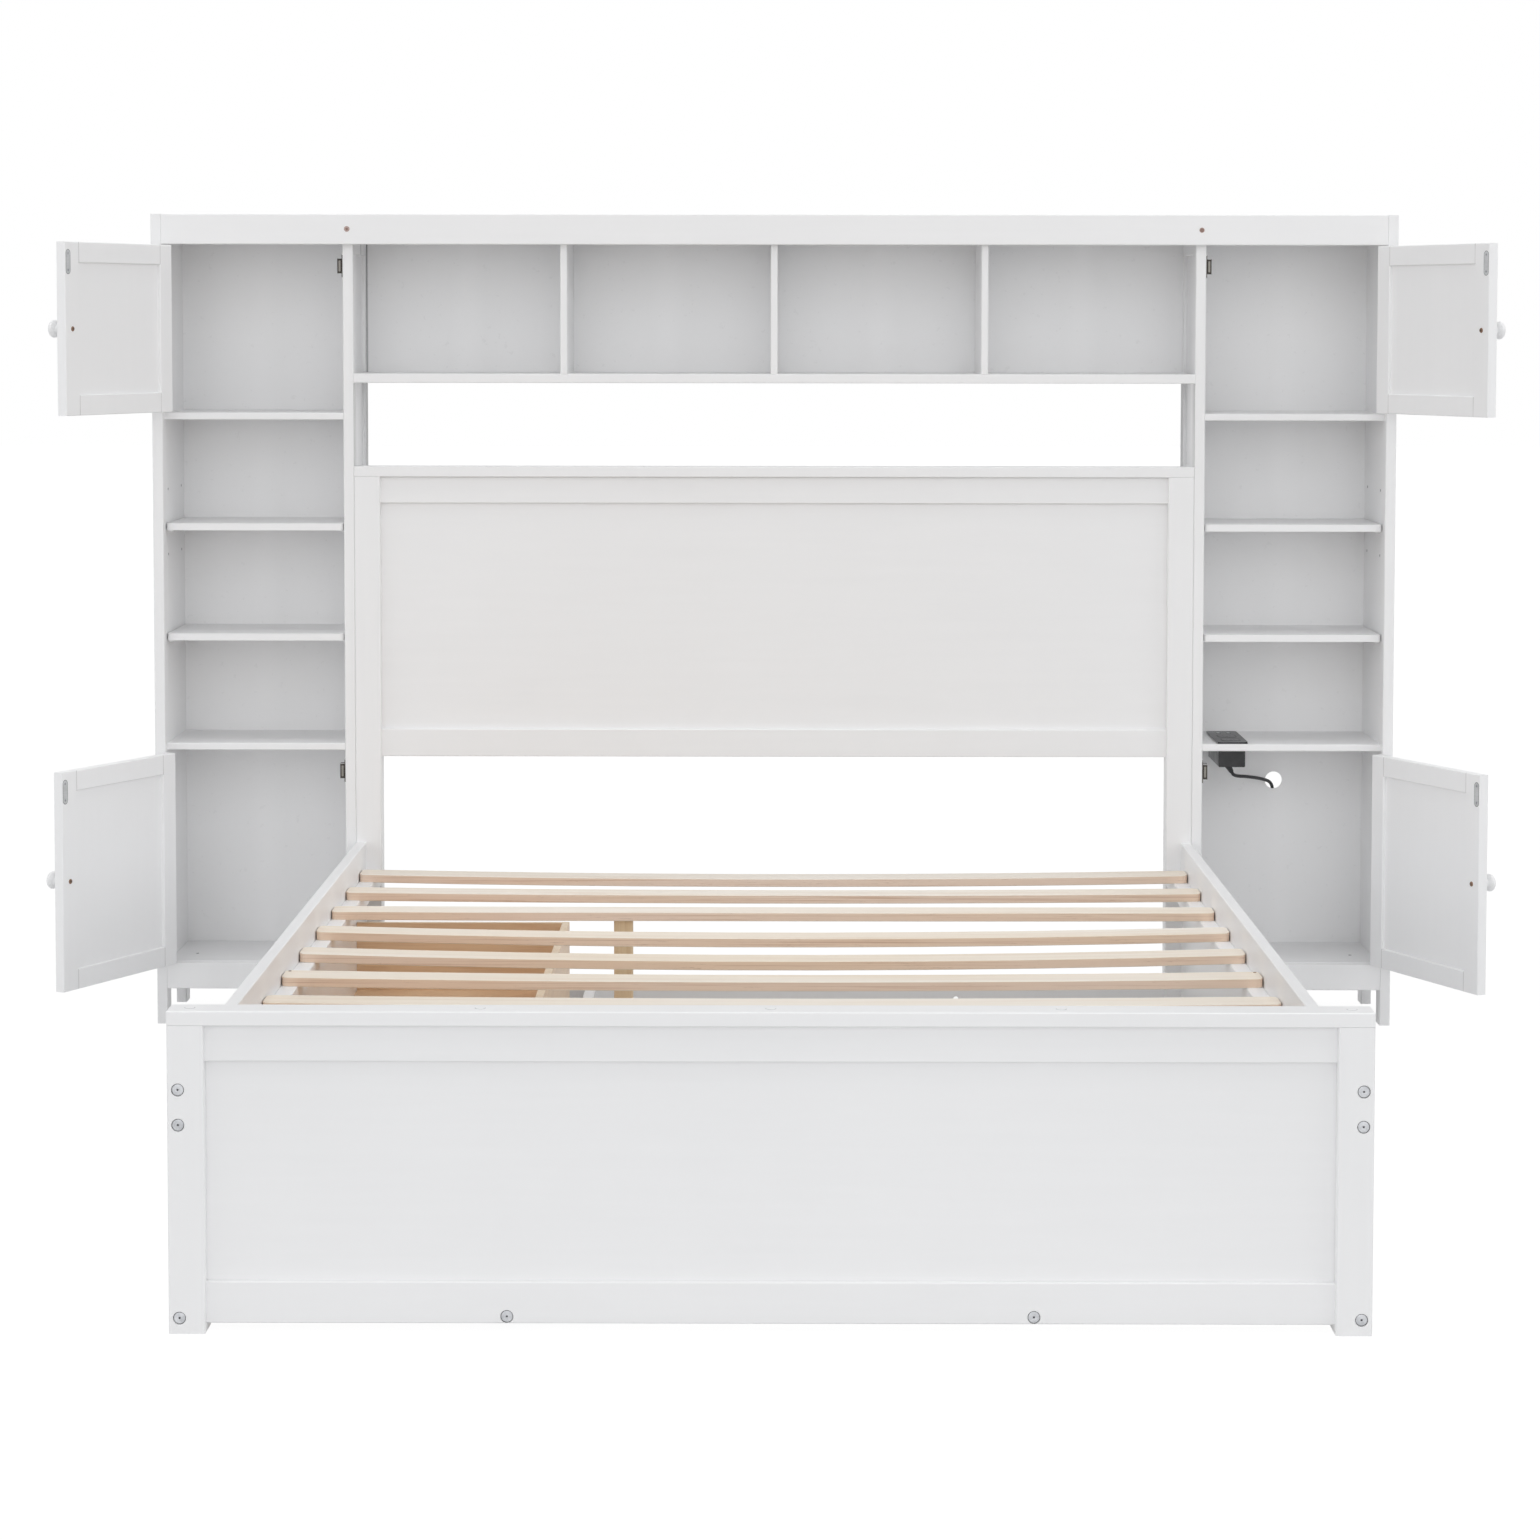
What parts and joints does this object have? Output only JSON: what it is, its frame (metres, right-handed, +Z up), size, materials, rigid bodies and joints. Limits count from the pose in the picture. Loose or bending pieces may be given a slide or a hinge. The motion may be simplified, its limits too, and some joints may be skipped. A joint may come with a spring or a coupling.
{
  "type": "bed with storage headboard",
  "caption": "White wooden bed with slatted base, side drawers, and a storage headboard of door-fronted towers joined by a cubby bridge.",
  "frame": {"origin": "on the floor under the middle of the overall width and depth with the doors as pictured, the free cord not counted", "axes": "+X to the right seen from the foot end, +Y from the footboard towards the headboard, +Z up"},
  "size_m": [2.4219, 2.183, 1.41],
  "materials": {
    "white_lacquer": "satin white lacquer",
    "white_back": "semi-gloss white laminate",
    "slat_wood": "bare sanded pale softwood",
    "drawer_wood": "clear varnished plywood",
    "black_plastic": "moulded matte",
    "zinc_steel": "zinc-plated fasteners and strike plates",
    "bronze_steel": "dark bronze catches and hinges"
  },
  "bodies": {
    "frame": {"headboard_post_left": "white_lacquer", "headboard_post_right": "white_lacquer", "headboard_upper_rail": "white_lacquer", "headboard_panel": "white_lacquer", "headboard_lower_rail": "white_lacquer", "headboard_bottom_rail": "white_lacquer", "headboard_cap": "white_lacquer", "footboard_post_left": "white_lacquer", "footboard_post_right": "white_lacquer", "footboard_upper_rail": "white_lacquer", "footboard_panel": "white_lacquer", "footboard_lower_rail": "white_lacquer", "footboard_cap": "white_lacquer", "slat_deck": "slat_wood", "side_rail_left": "white_lacquer", "side_rail_right": "white_lacquer", "right_side_panel": "white_lacquer", "slat_support_leg": "slat_wood", "left_drawer_frame": "white_lacquer", "drawer_runner_frame": "white_lacquer", "tower_left_outer_side": "white_lacquer", "tower_left_inner_side": "white_lacquer", "tower_left_upper_shelf": "white_lacquer", "tower_left_high_loose_shelf": "white_lacquer", "tower_left_low_loose_shelf": "white_lacquer", "tower_left_lower_shelf": "white_lacquer", "tower_left_base": "white_lacquer", "tower_left_back_panel": "white_back", "tower_right_outer_side": "white_lacquer", "tower_right_inner_side": "white_lacquer", "tower_right_upper_shelf": "white_lacquer", "tower_right_high_loose_shelf": "white_lacquer", "tower_right_low_loose_shelf": "white_lacquer", "tower_right_lower_shelf": "white_lacquer", "tower_right_base": "white_lacquer", "tower_right_back_panel": "white_back", "top_fascia": "white_lacquer", "top_board": "white_lacquer", "bridge_shelf": "white_lacquer", "bridge_divider_1": "white_lacquer", "bridge_divider_2": "white_lacquer", "bridge_divider_3": "white_lacquer", "bridge_back_panel": "white_back", "power_socket": "black_plastic", "power_cord_run": "black_plastic", "power_cord_coil": "black_plastic", "power_plug": "black_plastic"},
    "upper_left_door": {"door_upper_left": "white_lacquer", "door_upper_left_knob": "white_lacquer"},
    "lower_left_door": {"door_lower_left": "white_lacquer", "door_lower_left_knob": "white_lacquer"},
    "upper_right_door": {"door_upper_right": "white_lacquer", "door_upper_right_knob": "white_lacquer"},
    "lower_right_door": {"door_lower_right": "white_lacquer", "door_lower_right_knob": "white_lacquer"},
    "head_drawer": {"drawer_head_front": "white_lacquer", "drawer_head_box": "drawer_wood"},
    "foot_drawer": {"drawer_foot_front": "white_lacquer", "drawer_foot_box": "drawer_wood"}
  },
  "joints": [
    {"name": "upper_left_hinge", "type": "hinge", "parent": "frame", "child": "upper_left_door", "pos_m": [-1.0567, 0.8476, 1.2125], "axis": [0, 0, 1], "range_deg": [-56, 114]},
    {"name": "lower_left_hinge", "type": "hinge", "parent": "frame", "child": "lower_left_door", "pos_m": [-1.0567, 0.8476, 0.293], "axis": [0, 0, 1], "range_deg": [-53, 117]},
    {"name": "upper_right_hinge", "type": "hinge", "parent": "frame", "child": "upper_right_door", "pos_m": [1.0567, 0.8476, 1.2125], "axis": [0, 0, 1], "range_deg": [-116, 54]},
    {"name": "lower_right_hinge", "type": "hinge", "parent": "frame", "child": "lower_right_door", "pos_m": [1.0567, 0.8476, 0.293], "axis": [0, 0, 1], "range_deg": [-115, 55]},
    {"name": "head_drawer_slide", "type": "slide", "parent": "frame", "child": "head_drawer", "axis": [-1, 0, 0], "range_m": [0, 0.27]},
    {"name": "foot_drawer_slide", "type": "slide", "parent": "frame", "child": "foot_drawer", "axis": [-1, 0, 0], "range_m": [0, 0.27]}
  ]
}
